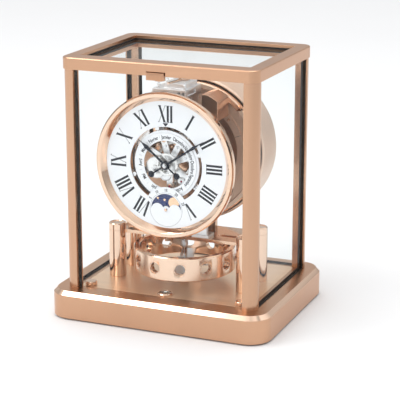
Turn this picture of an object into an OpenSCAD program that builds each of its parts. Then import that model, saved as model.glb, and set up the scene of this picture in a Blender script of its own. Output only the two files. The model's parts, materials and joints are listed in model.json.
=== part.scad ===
// Glass-cabinet mantel clock with a torsion pendulum, wound by a gas bellows in a drum behind the movement.
// +X is to the right of someone facing the dial, +Y goes to the back, +Z goes up.
// The origin is the middle of the footprint, on the surface that the clock stands on.

/* [Base] */
// Width of the base
base_w = 198; // [190:1:240]
// Depth of the base
base_d = 161; // [158:1:200]
// Height of the top of the base over the table
base_h = 25; // [24:0.5:32]
// Radius of the base's upright corners
base_r = 19; // [10:1:30]
// Chamfer round the top of the base
base_chamfer = 3.4; // [1:0.2:6]
// Wall and roof thickness of the base shell
base_wall = 4; // [3:0.5:6]
// Gap between the table and the rim of the base
rim_gap = 1.5; // [1:0.1:2.5]

/* [Cabinet] */
// Clear height between the drum or the bezel and the top frame
headroom = 15; // [12:0.5:40]
// Step from the side of the base to the side of the cabinet
ledge_x = 12; // [6:0.5:20]
// Step from the front of the base to the front of the cabinet
ledge_y = 11.5; // [6:0.5:20]
// Height of the top frame
frame_h = 10; // [8:0.5:14]
// Corner radius of the top frame
frame_r = 9; // [4:0.5:14]
// Side of the square corner posts
post_w = 11; // [9:0.5:14]
// Radius of the outer corner of a post
post_r = 9; // [3:0.5:9]
// Thickness of the glass panes
glass_t = 3; // [2:0.2:4]
// Width of the side rails of the top frame
side_rail = 11.5; // [11:0.5:16]
// Width of the front rail of the top frame
front_rail = 16; // [15:0.5:22]
// Width of the back rail of the top frame
back_rail = 13; // [11:0.5:20]

/* [Dial and hands] */
// Width of the bezel
bezel_w = 7.9; // [6:0.1:12]
// Radius of the visible white dial
dial_r = 54.1; // [50:0.1:56]
// Radius of the opening in the middle of the dial
opening_r = 32.5; // [30:0.5:34]
// Outer radius of the month ring
month_r = 26.9; // [24:0.1:28]
// Width of the month ring
month_w = 6.5; // [4:0.1:8]
// Distance of the moon dial below the centre
moon_drop = 38.4; // [37:0.1:39]
// Radius of the moon dial's scale
moon_scale_r = 19.5; // [17:0.1:20]
// Length of the minute hand
minute_len = 42; // [36:0.5:50]
// Length of the hour hand
hour_len = 31.8; // [26:0.5:40]
// Resting angle of the minute hand, clockwise from twelve
minute_angle = 56; // [0:1:359]
// Resting angle of the hour hand, clockwise from twelve
hour_angle = 310; // [0:1:359]

/* [Pendulum] */
// Outer radius of the balance ring
ring_r = 44; // [36:0.5:46]
// Height of the balance ring
ring_h = 20.7; // [14:0.1:22]
// Wall of the balance ring
ring_wall = 5.2; // [3:0.1:7]
// Radius of the holes in the balance ring
ring_hole_r = 4.6; // [3:0.1:5.5]
// Distance of the pendulum's axis in front of the middle
axis_front = 10; // [9:0.5:11]
// Height of the underside of the balance ring
ring_z = 37; // [36.5:0.5:40]

/* [Bridge] */
// Radius of the bridge pillars
pillar_r = 7.5; // [6:0.25:8]
// Gap between the balance ring and the pillars
pillar_gap = 8; // [4:0.5:12]
// Height of the top of the bridge plate
bridge_z = 67.3; // [66:0.1:70]
// Thickness of the bridge plate
bridge_t = 3; // [2:0.2:4]

/* [Drum] */
// Radius of the drum that holds the bellows
drum_r = 63; // [60:0.5:64]
// Length of the drum behind its front ring
drum_len = 32; // [26:1:36]
// Radius of the window in the drum's front plate
drum_window_r = 39.5; // [34:0.5:44]
// Gap between the bridge plate and the drum
drum_gap = 6.7; // [4:0.1:12]

/* [Train] */
// Module of the going train
train_m = 0.5; // [0.45:0.01:0.55]

/* [Hidden] */
$fn = 72;
slack = 0.06;                  // radial play of a turning or sliding fit
seat = 0.3;                    // play round a flat piece in its recess

// Colours of the finishes
rose = [0.85, 0.64, 0.50];
rose_dark = [0.68, 0.45, 0.32];
steel = [0.78, 0.78, 0.80];
clear = [0.85, 0.92, 0.95, 0.25];

// Places that follow from the sizes above
dial_z = bridge_z + drum_gap + drum_r;  // height of the centre of the dial
bezel_r = dial_r + bezel_w;
month_ri = month_r - month_w;
pillar_x = ring_r + pillar_gap + pillar_r;
total_h = dial_z + max(drum_r, bezel_r) + headroom + frame_h;

// Cabinet
frame_w = base_w - 2 * ledge_x;
frame_d = base_d - 2 * ledge_y;
frame_z = total_h - frame_h;
post_inset = 0.8;
post_x = frame_w / 2 - post_inset - post_w / 2;
post_y = frame_d / 2 - post_inset - post_w / 2;
gap_x = post_x - post_w / 2;   // half the clear width between posts
gap_y = post_y - post_w / 2;
spigot_r = 3;
spigot_h = 6;
setback = 2;                   // from the outer face of a post to its glass
bite = 1.5;                    // how far a pane goes into its groove
seal_t = 0.5;                  // thickness of the seal beside and behind a pane
seal_lip = 0.8;                // how far the seal shows past the groove
side_glass_x = post_x + post_w / 2 - setback - glass_t / 2;
back_glass_y = post_y + post_w / 2 - setback - glass_t / 2;
pane_h = frame_z - base_h;
pane_z = base_h + pane_h / 2;
door_back = -(post_y + post_w / 2 - setback - glass_t) - 0.5;
door_front = door_back - glass_t;
door_gap = 0.4;

// Top frame and its glass
ledge_h = 3.5;                 // thickness of the ledge that carries the top glass
ledge_in = 3.5;                // how far the ledge reaches under the glass
top_seal = 0.8;
top_glass_z = frame_z + ledge_h + 0.3;
top_open_w = frame_w - 2 * side_rail;
top_open_d = frame_d - front_rail - back_rail;
top_open_y = (front_rail - back_rail) / 2;

// Floor, feet and levelling
floor_t = 1.2;
floor_w = 2 * (post_x - spigot_r) - 1.4;
floor_d = 2 * (post_y - spigot_r) - 1.4;
knob_x = gap_x - 6.2;
knob_y = -(gap_y - 3.2);
knob_r = 5;
knob_h = 3.4;
screw_r = 2.5;
foot_r = 9;
foot_h = 3;
foot_tube_r = 4.2;
foot_tube_top = 14;
boss_bottom = 5;
cover_t = 1.5;
cover_top = rim_gap + cover_t;
rear_foot_y = base_d / 2 - base_wall - foot_r - 7;
cavity_top = base_h - base_wall;
cover_screw_x = base_w / 2 - base_wall - 5;
cover_screw_ys = [-30, 15, 48];
level_y = -(gap_y - 4.2);
level_r = 6.5;

// Pendulum and its lock
axis_y = -axis_front;
hub_bottom = ring_z - 4.3;
lock_rise = 2.5;
plunger_r = 4;
plunger_top = hub_bottom - lock_rise - 0.2;
lever_t = 2.7;
lever_z = cover_top + 0.3;
lever_rest = 172;              // direction of the lock lever at rest, seen from above
lever_swing = 16;
ring_holes = 12;
ring_turn = -72.7;             // direction of the first hole
staff_r = 2.1;
staff_collar_r = 2.9;
staff_top = bridge_z + 6;
roller_z = staff_top - 3;
roller_r = 5.6;
impulse_r = 4.5;               // distance of the impulse pin from the axis

// Bridge
pillar_ys = [-20, 14];
bridge_front = -19;
bridge_back = 21.5;
staff_hole_r = 7.4;
leg_x0 = 10.5;
leg_x1 = 23.6;

// Places of the layers of the movement, from front to back
hand_tip_y = -54.4;
bezel_front = -55;
dial_front = -49.8;
dial_t = 0.6;
moon_front = dial_front + dial_t + 0.2;
moon_t = 0.3;
month_front = moon_front + moon_t + 0.2;
month_t = 0.6;
bezel_back = -45.2;
plate_t = 2;
front_plate_y = -42;
back_plate_y = -20;
seat_r = dial_r + 3.4;         // the ring that the bezel sits on
back_plate_r = 48;

// Axes of the train, as [x, z]
train_teeth = [64, 16, 72, 12];  // wheel, its pinion, barrel, its pinion
wheel_n = train_teeth[0];
pinion_n = train_teeth[1];
barrel_n = train_teeth[2];
leaf_n = train_teeth[3];
center = [0, dial_z];
step_a = (wheel_n + pinion_n) * train_m / 2;    // wheel to pinion
step_b = (barrel_n + leaf_n) * train_m / 2;     // barrel to its pinion
inter_dir = 105;
inter_open = 30;               // angle at the centre between the intermediate wheel and the barrel
inter = center + step_a * [cos(inter_dir), sin(inter_dir)];
barrel_dist = step_a * cos(inter_open) + sqrt(pow(step_b, 2) - pow(step_a * sin(inter_open), 2));
barrel_dir = inter_dir + inter_open;
barrel_c = center + barrel_dist * [cos(barrel_dir), sin(barrel_dir)];
inter_to_barrel = atan2(barrel_c[1] - inter[1], barrel_c[0] - inter[0]);
escape = center - [0, step_a];
escape_teeth = 15;
escape_r = 8.5;
pallet = escape - [0, 13.6];
cannon_n = 12;
minute_n = 36;
minute_pinion_n = 12;
hour_n = 48;
minute_dir = 200;
motion_step = (cannon_n + minute_n) * train_m / 2;
hour_m = 2 * motion_step / (minute_pinion_n + hour_n);  // the hour pair spans the same two axes
minute_c = center + motion_step * [cos(minute_dir), sin(minute_dir)];
moon_c = center - [0, moon_drop];
moon_open_r = 13.6;
arbor_r = 1;
center_r = 1.5;
cannon_r = 2;
hour_pipe_r = 2.7;
winding_r = 3;
pivot_r = 2;
plate_pillar_r = 2.5;
plate_pillar_at = 44;
spokes = [20, 105, 200, 270, 150, 62, 322];  // directions of the arms of the front plate
spoke_w = 5.4;

// Suspension, level with the top of the plates
block_z = dial_z + 53;
block_top = dial_z + 65;
tube_r = 3;
tube_bore = 1.2;
tube_bottom = staff_top + 11;
tube_top = block_top + 2.5;

// Drum
drum_front_y = 8;
drum_ring_len = 7;
drum_ring_r = drum_r - 3;
drum_ring_ri = drum_r - 8;
drum_wall = 2;
shell_y = drum_front_y + drum_ring_len;
rear_y = shell_y + drum_len;
rear_t = 4;
disc_y = shell_y + 2;
disc_t = 2;

// ---- shapes used by several pieces ----

module rounded_rect(w, d, r) {
    square([w - 2 * r, d], center = true);
    square([w, d - 2 * r], center = true);
    for (sx = [-1, 1], sy = [-1, 1])
        translate([sx * (w / 2 - r), sy * (d / 2 - r)]) circle(r);
}

module rounded_slab(w, d, r, z0, z1)
    translate([0, 0, z0]) linear_extrude(z1 - z0) rounded_rect(w, d, r);

// A slab with rounded upright corners and a chamfer round its top
module chamfered_slab(w, d, r, z0, z1, c) {
    module profile(span)
        polygon([[-span / 2, z0], [span / 2, z0], [span / 2, z1 - c], [span / 2 - c, z1],
                 [c - span / 2, z1], [-span / 2, z1 - c]]);
    rotate([90, 0, 0]) linear_extrude(d - 2 * r, center = true) profile(w);
    rotate([90, 0, 90]) linear_extrude(w - 2 * r, center = true) profile(d);
    for (sx = [-1, 1], sy = [-1, 1])
        translate([sx * (w / 2 - r), sy * (d / 2 - r), 0])
            rotate_extrude() polygon([[0, z0], [r, z0], [r, z1 - c], [r - c, z1], [0, z1]]);
}

// A block between two opposite corners
module block(a, b) translate(a) cube(b - a);

// A rod along Y, with its axis at c = [x, z]
module rod(c, y0, y1, r)
    translate([c[0], y1, c[1]]) rotate([90, 0, 0]) cylinder(h = y1 - y0, r = r);

// An outline in X and Z, standing between two depths, with its own origin at c = [x, z]
module upright(c, y0, y1, turn = 0)
    translate([c[0], y1, c[1]]) rotate([90, 0, 0]) linear_extrude(y1 - y0) rotate(turn) children();

// A ring turned about the Y axis through c, from [radius, y] points
module turned(c, points)
    translate([c[0], 0, c[1]]) rotate([-90, 0, 0]) rotate_extrude($fn = 120) polygon(points);

// Gear teeth: straight flanks, 0.8 modules over and 1.1 modules under the pitch circle
function gear_points(n, m) =
    let (tip = n * m / 2 + 0.8 * m, root = n * m / 2 - 1.1 * m, pitch = 360 / n)
    [for (i = [0 : n - 1]) for (k = [[root, -0.36], [tip, -0.13], [tip, 0.13], [root, 0.36]])
        k[0] * [cos((i + k[1]) * pitch), sin((i + k[1]) * pitch)]];

// Turn of gear B, in direction dir from gear A, that puts its teeth between the teeth of A
function mesh_turn(dir, turn_a, n_a, n_b) = dir + 180 + (dir - turn_a) * n_a / n_b - 180 / n_b;

// A wheel with arms: teeth, a rim, a hub and windows between the arms
module spoked_wheel(c, y0, y1, n, m, turn, rim, hub, arms, arm_w)
    upright(c, y0, y1, turn) difference() {
        polygon(gear_points(n, m));
        difference() {
            circle(n * m / 2 - rim);
            circle(hub);
            for (i = [0 : arms - 1]) rotate(i * 360 / arms) translate([0, -arm_w / 2])
                square([n * m / 2, arm_w]);
        }
    }

module pinion(c, y0, y1, n, m, turn) upright(c, y0, y1, turn) polygon(gear_points(n, m));

// ---- base, floor and feet ----

module screw_places()
    for (sx = [-1, 1], y = cover_screw_ys) translate([sx * cover_screw_x, y, 0]) children();

module base_pan() color(rose) difference() {
    union() {
        difference() {
            chamfered_slab(base_w, base_d, base_r, rim_gap, base_h, base_chamfer);
            rounded_slab(base_w - 2 * base_wall, base_d - 2 * base_wall, base_r - base_wall,
                         rim_gap - 1, cavity_top);
        }
        for (sx = [-1, 1]) translate([sx * knob_x, knob_y, boss_bottom])
            cylinder(h = cavity_top - boss_bottom + 1, r = foot_tube_r + 3.3);
        screw_places() translate([0, 0, cover_top]) cylinder(h = cavity_top - cover_top + 1, r = 4);
        translate([0, rear_foot_y, cover_top]) cylinder(h = cavity_top - cover_top + 1, r = 6);
        translate([0, axis_y, 13]) cylinder(h = cavity_top - 12, r = plunger_r + 3);
    }
    translate([0, 0, base_h]) cube([floor_w + seat, floor_d + seat, 2 * floor_t], center = true);
    for (sx = [-1, 1]) translate([sx * knob_x, knob_y, 0]) {
        cylinder(h = foot_tube_top + 2.2, r = foot_tube_r + slack);
        cylinder(h = base_h + 1, r = screw_r + slack);
    }
    screw_places() cylinder(h = 11, r = 1.5);
    translate([0, rear_foot_y, 0]) cylinder(h = 9, r = spigot_r);
    translate([0, axis_y, 0]) cylinder(h = base_h + 1, r = plunger_r + slack);
    post_places() translate([0, 0, -spigot_h]) cylinder(h = spigot_h + 1, r = spigot_r);
    side_panes(seal_t, seal_t);
    back_pane(seal_t, seal_t);
    lever_slot();
}

// The slot in the left wall that the lock lever swings in
module lever_slot() {
    reach = base_w / 2 * tan(lever_swing / 2) + 5;
    block([-base_w / 2 - 1, axis_y - reach, lever_z - 0.3],
          [-base_w / 2 + base_wall + 1, axis_y + reach, lever_z + lever_t + 0.4]);
}

module base_cover() color(rose_dark) {
    difference() {
        rounded_slab(base_w - 2 * base_wall - 2 * seat, base_d - 2 * base_wall - 2 * seat,
                     base_r - base_wall - seat, rim_gap, cover_top);
        for (sx = [-1, 1]) translate([sx * knob_x, knob_y, 0]) cylinder(h = 9, r = foot_r + 0.6);
        translate([0, rear_foot_y, 0]) cylinder(h = 9, r = spigot_r);
        screw_places() {
            cylinder(h = 9, r = 1.5);
            cylinder(h = rim_gap + 0.9, r = 2.9);
        }
    }
    translate([0, axis_y, cover_top]) cylinder(h = lever_t, r = 2);
}

module cover_screws() color(steel) screw_places() {
    translate([0, 0, rim_gap + 0.2]) cylinder(h = 0.7, r = 2.8);
    translate([0, 0, rim_gap + 0.8]) cylinder(h = 8, r = 1.5);
}

module floor_plate() color(rose) difference() {
    translate([0, 0, base_h - floor_t / 2]) cube([floor_w, floor_d, floor_t], center = true);
    for (sx = [-1, 1]) translate([sx * knob_x, knob_y, 0]) cylinder(h = base_h + 1, r = screw_r + slack);
    translate([0, axis_y, 0]) cylinder(h = base_h + 1, r = plunger_r + slack);
}

module rear_foot() color(rose_dark) translate([0, rear_foot_y, 0]) {
    rotate_extrude() polygon([[0, 0], [foot_r - 0.6, 0], [foot_r, 0.6], [foot_r, rim_gap],
                              [0, rim_gap]]);
    cylinder(h = 8, r = spigot_r);
}

module front_foot(side) color(rose_dark) translate([side * knob_x, knob_y, 0]) difference() {
    union() {
        rotate_extrude() polygon([[0, 0], [foot_r - 0.6, 0], [foot_r, 0.6], [foot_r, foot_h],
                                  [0, foot_h]]);
        cylinder(h = foot_tube_top, r = foot_tube_r);
    }
    translate([0, 0, foot_h - 0.5]) cylinder(h = foot_tube_top, r = screw_r + slack);
}
module front_foot_left() front_foot(-1);
module front_foot_right() front_foot(1);

module level_knob(side) color(rose) translate([side * knob_x, knob_y, 0]) {
    translate([0, 0, foot_h + 2]) cylinder(h = base_h - foot_h - 1, r = screw_r);
    translate([0, 0, base_h + 0.3]) difference() {
        rotate_extrude() polygon([[0, 0], [knob_r - 0.4, 0], [knob_r, 0.4], [knob_r, knob_h - 0.5],
                                  [knob_r - 0.5, knob_h], [0, knob_h]]);
        for (a = [0 : 20 : 340]) rotate(a) translate([knob_r + 0.25, 0, -1])
            cylinder(h = knob_h + 2, r = 0.5, $fn = 16);
    }
}
module level_knob_left() level_knob(-1);
module level_knob_right() level_knob(1);

module level_housing() color(rose) translate([0, level_y, base_h])
    rotate_extrude() polygon([[0, 0], [level_r, 0], [level_r, 1], [level_r - 0.9, 2],
                              [level_r - 1.5, 2], [level_r - 1.5, 0.5], [0, 0.5]]);

module level_lens() color(clear) translate([0, level_y, base_h + 0.5])
    rotate_extrude() polygon([[0, 0], [level_r - 1.6, 0], [level_r - 1.6, 1.1], [level_r - 2.6, 1.5],
                              [0, 1.7]]);

module lock_lever() color(steel) translate([0, axis_y, lever_z]) difference() {
    union() {
        cylinder(h = lever_t, r = 9);
        rotate(lever_rest) translate([0, -3, 0]) cube([base_w / 2 - 0.2, 6, lever_t]);
    }
    translate([0, 0, -1]) cylinder(h = lever_t + 2, r = 2 + slack);
}

module lock_plunger() color(steel) translate([0, axis_y, lever_z + lever_t + 0.2])
    cylinder(h = plunger_top - lever_z - lever_t - 0.2, r = plunger_r);

// ---- cabinet ----

module post_places()
    for (sx = [-1, 1], sy = [-1, 1]) translate([sx * post_x, sy * post_y, base_h]) children();

// One post, with its round corner towards +X and +Y
module post_body() {
    half = post_w / 2;
    difference() {
        translate([-half, -half, 0]) cube([post_w, post_w, pane_h]);
        difference() {
            translate([half - post_r, half - post_r, -1]) cube([post_r + 1, post_r + 1, pane_h + 2]);
            translate([half - post_r, half - post_r, -1]) cylinder(h = pane_h + 2, r = post_r);
        }
    }
    translate([0, 0, -spigot_h]) cylinder(h = pane_h + 2 * spigot_h, r = spigot_r);
}

module corner_posts() color(rose) difference() {
    for (sx = [0, 1], sy = [0, 1]) translate([(1 - 2 * sx) * post_x, (1 - 2 * sy) * post_y, base_h])
        mirror([sx, 0, 0]) mirror([0, sy, 0]) post_body();
    side_panes(seal_t, seal_t);
    back_pane(seal_t, seal_t);
}

module side_panes(edge, thick) for (sx = [-1, 1]) translate([sx * side_glass_x, 0, pane_z])
    cube([glass_t + 2 * thick, 2 * (gap_y + bite + edge), pane_h + 2 * (bite + edge)], center = true);

module back_pane(edge, thick) translate([0, back_glass_y, pane_z])
    cube([2 * (gap_x + bite + edge), glass_t + 2 * thick, pane_h + 2 * (bite + edge)], center = true);

module side_glasses() color(clear) side_panes(0, 0);
module back_glass() color(clear) back_pane(0, 0);

module top_frame() color(rose) difference() {
    chamfered_slab(frame_w, frame_d, frame_r, frame_z, total_h, 0.8);
    translate([0, top_open_y, total_h])
        cube([top_open_w, top_open_d, 2 * (frame_h - ledge_h)], center = true);
    translate([0, top_open_y, frame_z])
        cube([top_open_w - 2 * ledge_in, top_open_d - 2 * ledge_in, 3 * frame_h], center = true);
    for (sx = [-1, 1], sy = [-1, 1]) translate([sx * post_x, sy * post_y, frame_z - 1])
        cylinder(h = spigot_h + 1, r = spigot_r);
    side_panes(seal_t, seal_t);
    back_pane(seal_t, seal_t);
    block([-latch_w / 2 - 0.5, -frame_d / 2 - 1, frame_z - 1],
          [latch_w / 2 + 0.5, door_front + 0.6, latch_top + 0.5]);
}

module top_glass() color(clear) translate([0, top_open_y, top_glass_z + glass_t / 2])
    cube([top_open_w - 2 * top_seal, top_open_d - 2 * top_seal, glass_t], center = true);

// Black seals: a channel round each fixed pane, a ring round the top pane and the stops of the door
module glass_seals() color([0.08, 0.08, 0.08]) {
    difference() {
        side_panes(seal_t, seal_t);
        side_panes(0, 0);
        side_panes(-bite - seal_lip, 1);
    }
    difference() {
        back_pane(seal_t, seal_t);
        back_pane(0, 0);
        back_pane(-bite - seal_lip, 1);
    }
    translate([0, top_open_y, 0]) difference() {
        translate([0, 0, frame_z + ledge_h + 2]) cube([top_open_w, top_open_d, 4], center = true);
        translate([0, 0, top_glass_z + glass_t])
            cube([top_open_w - 2 * top_seal, top_open_d - 2 * top_seal, 2 * glass_t], center = true);
        translate([0, 0, frame_z])
            cube([top_open_w - 2 * ledge_in, top_open_d - 2 * ledge_in, 3 * frame_h], center = true);
    }
    for (sx = [-1, 1]) translate([sx * (gap_x - 0.65), door_back + 1.1, pane_z])
        cube([1.3, 2, pane_h], center = true);
}

// Front pane: it stands on its lower edge and tips forwards
latch_w = 15.6;
latch_travel = 1.8;
latch_bottom = frame_z - 3.3;
latch_top = frame_z + 2.9;
latch_stem = 1.6;

module front_glass() color(clear) difference() {
    block([door_gap - gap_x, door_front, base_h + 0.2], [gap_x - door_gap, door_back, frame_z - 0.4]);
    block([-latch_stem - 0.4, door_front - 1, latch_bottom - latch_travel - 1.4],
          [latch_stem + 0.4, door_back + 1, frame_z]);
}

module door_latch() color(rose_dark) {
    difference() {
        block([-latch_w / 2, door_front - 3.9, latch_bottom], [latch_w / 2, door_front - 0.2, latch_top]);
        for (i = [-6 : 6]) translate([i * 1.15, door_front - 3.9, latch_bottom - 1])
            cylinder(h = latch_top - latch_bottom + 2, r = 0.3, $fn = 4);
    }
    block([-latch_stem, door_front - 0.3, latch_bottom], [latch_stem, door_back + 0.3, frame_z - 0.5]);
    block([-3, door_back + 0.2, latch_bottom - 1.9], [3, door_back + 1.4, frame_z - 0.4]);
}

// ---- bridge ----

module pillar_places() for (sx = [-1, 1], y = pillar_ys) translate([sx * pillar_x, y, 0]) children();

module bridge_outline(lift = 0)
    block([-pillar_x, bridge_front, bridge_z - bridge_t], [pillar_x, bridge_back, bridge_z + lift]);

module bridge_pillars() color(rose) difference() {
    pillar_places() translate([0, 0, base_h])
        rotate_extrude() polygon([[0, 0], [pillar_r - 0.4, 0], [pillar_r, 0.4],
                                  [pillar_r, bridge_z - base_h], [0, bridge_z - base_h]]);
    bridge_outline(1);
}

module pillar_caps() color(rose) pillar_places() translate([0, 0, bridge_z])
    rotate_extrude() polygon([[0, 0], [pillar_r, 0], [pillar_r, 5.5], [pillar_r - 0.7, 6.2],
                              [pillar_r - 1.8, 6.2], [pillar_r - 2.3, 5.5], [0, 5.5]]);

module bridge_plate() color(rose) difference() {
    bridge_outline();
    translate([0, axis_y, bridge_z - bridge_t - 1]) cylinder(h = bridge_t + 2, r = staff_hole_r);
    for (sx = [-1, 1]) translate([sx * 38, -5, 0])
        rounded_slab(17, 5, 2.4, bridge_z - bridge_t - 1, bridge_z + 1);
}

module movement_legs() color(steel) for (sx = [0, 1]) mirror([sx, 0, 0]) {
    block([leg_x0 - 0.5, bridge_front + 0.3, bridge_z], [leg_x1 + 2, -6, bridge_z + 2.5]);
    block([leg_x0, back_plate_y + plate_t, bridge_z + 2],
          [leg_x1, back_plate_y + plate_t + 3.8, bridge_z + 36]);
}

// ---- pendulum ----

module balance_ring() color(rose) translate([0, axis_y, ring_z]) difference() {
    rotate_extrude($fn = 120) polygon([[ring_r - ring_wall + 0.8, 0], [ring_r - 0.8, 0], [ring_r, 0.8],
        [ring_r, ring_h - 0.8], [ring_r - 0.8, ring_h], [ring_r - ring_wall + 0.8, ring_h],
        [ring_r - ring_wall, ring_h - 0.8], [ring_r - ring_wall, 0.8]]);
    for (i = [0 : ring_holes - 1]) rotate(ring_turn + i * 360 / ring_holes)
        translate([0, 0, ring_h / 2]) rotate([0, 90, 0]) {
            translate([0, 0, ring_r - ring_wall - 2]) cylinder(h = ring_wall + 4, r = ring_hole_r);
            translate([0, 0, ring_r - 1]) cylinder(h = 3, r = ring_hole_r + 0.7);
        }
}

module balance_arms() color(steel) translate([0, axis_y, 0]) difference() {
    union() {
        translate([0, 0, ring_z + 1]) cylinder(h = 6, r = 9);
        intersection() {
            for (a = [ring_turn, ring_turn + 90]) rotate(a) translate([0, 0, ring_z + 4])
                cube([2 * ring_r, 12, 2], center = true);
            cylinder(h = 2 * ring_z, r = ring_r - ring_wall);
        }
    }
    cylinder(h = 2 * ring_z, r = staff_r);
}

module balance_staff() color(steel) translate([0, axis_y, 0]) {
    rotate_extrude() polygon([[0, hub_bottom], [staff_r, hub_bottom], [staff_r, ring_z + ring_h - 0.7],
        [staff_collar_r, ring_z + ring_h - 0.7], [staff_collar_r, ring_z + ring_h + 3.8],
        [1.5, ring_z + ring_h + 3.8], [1.5, roller_z], [roller_r, roller_z], [roller_r, roller_z + 2],
        [1.5, roller_z + 2], [1.5, staff_top], [0, staff_top]]);
    translate([0, -impulse_r, roller_z + 1]) cylinder(h = 5.2, r = 0.5, $fn = 24);
}

module torsion_wire() color(steel) translate([0, axis_y, staff_top])
    cylinder(h = block_top - staff_top, r = 0.3, $fn = 16);

module suspension_tube() color(steel) translate([0, axis_y, tube_bottom]) difference() {
    cylinder(h = tube_top - tube_bottom, r = tube_r);
    translate([0, 0, -1]) cylinder(h = block_top - tube_bottom + 1, r = tube_bore);
}

module suspension_block() color(steel) difference() {
    union() {
        block([-18, axis_y - 26, block_z], [12, axis_y + 8, block_top - 4]);
        block([-10, axis_y - 20, block_z + 1], [10, axis_y + 4, block_top]);
        block([-10, back_plate_y + plate_t, dial_z + 39], [10, axis_y + 7, block_z + 1]);
    }
    translate([0, axis_y, dial_z]) cylinder(h = 90, r = tube_r);
    for (x = [2, 6]) block([x + 3, axis_y - 27, block_z + 2], [x + 5, axis_y - 21, block_top - 6]);
    block([11, axis_y - 22, block_z + 2.5], [13, axis_y - 4, block_top - 6]);
}

module regulator_lever() color(rose) translate([0, axis_y, block_top + 0.1]) difference() {
    union() {
        cylinder(h = 1.2, r = 5);
        rotate(-101) translate([0, -1, 0]) cube([24.5, 2, 1.2]);
    }
    translate([0, 0, -1]) cylinder(h = 4, r = tube_r + slack);
}

// ---- plates ----

module front_plate() color(steel) difference() {
    union() {
        turned(center, [[seat_r - 3.5, bezel_back - 3.9], [seat_r, bezel_back - 3.9],
                        [seat_r, front_plate_y + plate_t], [seat_r - 3.5, front_plate_y + plate_t]]);
        difference() {
            rod(center, front_plate_y, front_plate_y + plate_t, seat_r - 2.5);
            difference() {
                rod(center, front_plate_y - 1, front_plate_y + plate_t + 1, opening_r);
                rod(center, front_plate_y - 2, front_plate_y + plate_t + 2, 8);
                upright(center, front_plate_y - 2, front_plate_y + plate_t + 2)
                    for (a = spokes) rotate(a) translate([0, -spoke_w / 2]) square([opening_r + 4, spoke_w]);
            }
        }
        rod(minute_c, month_front + 0.5, front_plate_y + 1, arbor_r);
        for (i = [0 : 2]) rod(center + (month_r + 4.4) * [cos(spokes[i]), sin(spokes[i])],
                              month_front, front_plate_y + 1, 1.8);
    }
    rod(center, front_plate_y - 2, 0, center_r + slack);
    for (c = [inter, escape, pallet]) rod(c, front_plate_y - 1, 0, arbor_r + slack);
    rod(moon_c, front_plate_y - 1, 0, arbor_r + slack);
    rod(barrel_c, front_plate_y - 1, 0, pivot_r + slack);
}

module back_plate() color(rose) difference() {
    rod(center, back_plate_y, back_plate_y + plate_t, back_plate_r);
    rod(center, back_plate_y - 1, 0, center_r + slack);
    for (c = [inter, escape, pallet]) rod(c, back_plate_y - 1, 0, arbor_r + slack);
    rod(barrel_c, back_plate_y - 1, 0, pivot_r + slack);
}

module plate_pillars() color(rose) for (a = [0 : 90 : 270])
    rod(center + plate_pillar_at * [cos(a), sin(a)], front_plate_y + plate_t, back_plate_y, plate_pillar_r);

// ---- going train ----

barrel_front = -39;
drum_top_y = -27;              // back of the mainspring barrel
wheel_y = -30.5;               // centre wheel
slow_y = -24.5;                // intermediate wheel
escape_y = -24.6;

module barrel() color(rose) difference() {
    union() {
        pinion(barrel_c, barrel_front, barrel_front + 2, barrel_n, train_m,
               mesh_turn(inter_to_barrel, 0, leaf_n, barrel_n));
        rod(barrel_c, barrel_front + 1, drum_top_y, barrel_n * train_m / 2 - 1);
    }
    rod(barrel_c, barrel_front + 3, drum_top_y - 1, barrel_n * train_m / 2 - 2);
    rod(barrel_c, barrel_front - 1, drum_top_y + 1, winding_r + slack);
}

// A flat spiral strip, from the arbor out to the wall of the barrel
spring_turns = 7;
spring_strip = 0.5;
spring_inner = winding_r + 0.6;
spring_outer = barrel_n * train_m / 2 - 2.6 - spring_strip;
function spiral(a, extra) =
    (spring_inner + (spring_outer - spring_inner) * a / (360 * spring_turns) + extra) * [cos(a), sin(a)];

module mainspring() color(steel) {
    angles = [0 : 15 : 360 * spring_turns];
    upright(barrel_c, barrel_front + 3.5, drum_top_y - 1.5) polygon(concat(
        [for (a = angles) spiral(a, 0)], [for (a = angles) spiral(360 * spring_turns - a, spring_strip)]));
}

module barrel_arbor() color(steel) {
    rod(barrel_c, front_plate_y + plate_t + 0.1, back_plate_y - 0.1, winding_r);
    rod(barrel_c, front_plate_y - 2.2, back_plate_y + plate_t + 0.2, pivot_r);
}

ratchet_teeth = 24;
ratchet_r = 8.4;
ratchet_y = front_plate_y - 1.6;
click_dir = -20;
click_pivot = barrel_c + 13 * [cos(click_dir - 55), sin(click_dir - 55)];

module ratchet_wheel() color(steel) upright(barrel_c, ratchet_y, ratchet_y + 1.3) difference() {
    polygon([for (i = [0 : ratchet_teeth - 1]) for (k = [[ratchet_r, 0], [ratchet_r - 1, 0.12]])
        k[0] * [cos((i + k[1]) * 360 / ratchet_teeth), sin((i + k[1]) * 360 / ratchet_teeth)]]);
    circle(pivot_r);
}

// The pawl that holds the ratchet wheel, a hair clear of its teeth
module click() color(steel) {
    difference() {
        upright(click_pivot, ratchet_y, ratchet_y + 1.3) {
            circle(2);
            rotate(click_dir + 150) translate([0, -1]) square([5, 2]);
        }
        rod(barrel_c, ratchet_y - 1, ratchet_y + 2, ratchet_r + 0.15);
    }
    rod(click_pivot, ratchet_y + 1, front_plate_y, 1.2);
}

module intermediate_wheel() color(steel) {
    rod(inter, front_plate_y + 0.4, back_plate_y + plate_t - 0.4, arbor_r);
    pinion(inter, barrel_front, barrel_front + 2.4, leaf_n, train_m, 0);
    spoked_wheel(inter, slow_y, slow_y + 1.2, wheel_n, train_m,
                 mesh_turn(inter_dir, 0, pinion_n, wheel_n), 2.2, 3.4, 5, 1.8);
}

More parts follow.
